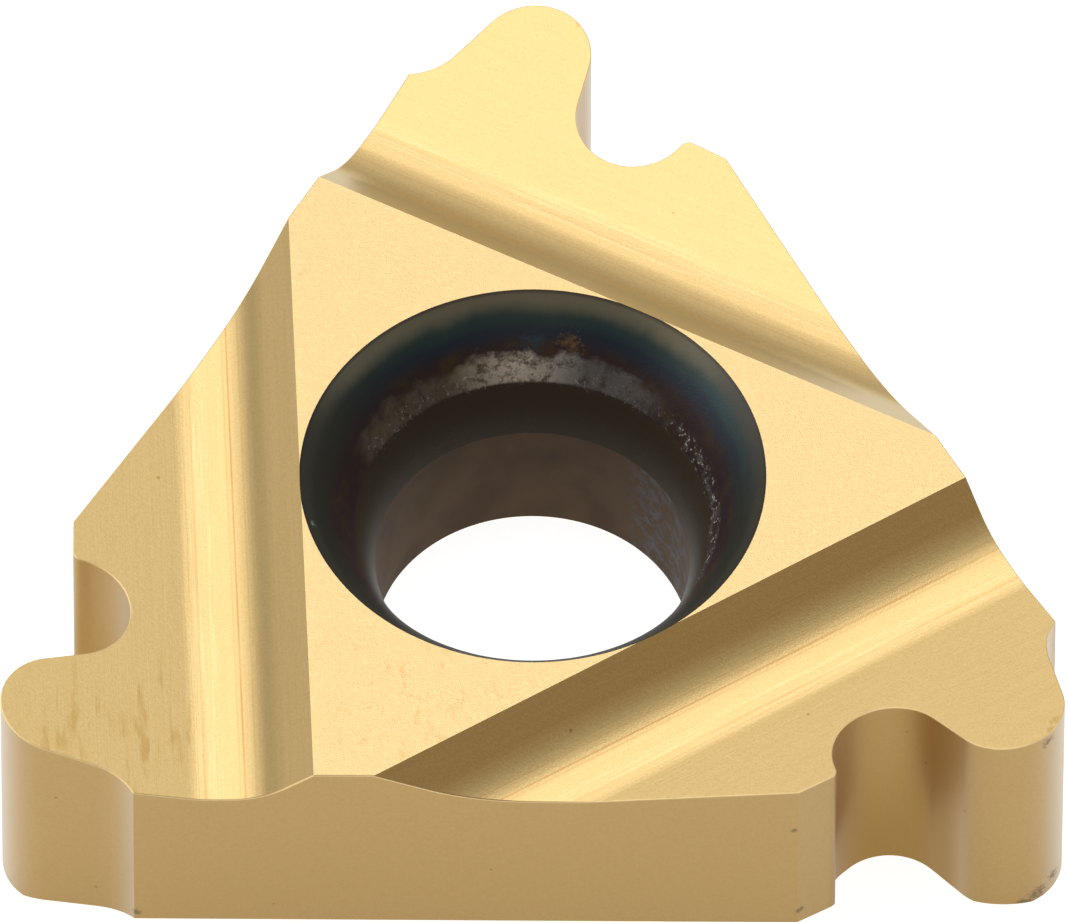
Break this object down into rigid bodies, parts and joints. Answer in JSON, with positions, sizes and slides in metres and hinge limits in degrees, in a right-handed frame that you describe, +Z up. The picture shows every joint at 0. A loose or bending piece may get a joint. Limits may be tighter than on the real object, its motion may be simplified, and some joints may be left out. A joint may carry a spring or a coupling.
{
  "type": "threading insert",
  "caption": "Flat triangular threading insert with a rounded tooth on each corner, ground chip grooves and a recessed screw hole through the middle.",
  "frame": {"origin": "on the axis of the screw hole, in the plane of the flat face that the insert lies on", "axes": "+Z up the screw hole towards the screw head, +Y towards the first cutting corner"},
  "size_m": [0.0134, 0.0124, 0.0035],
  "materials": {
    "gold_coating": "satin gold coloured hard coating over ground carbide, dark grey where it thins out in the screw hole"
  },
  "bodies": {
    "root": {"threading_insert": "gold_coating"}
  },
  "joints": []
}
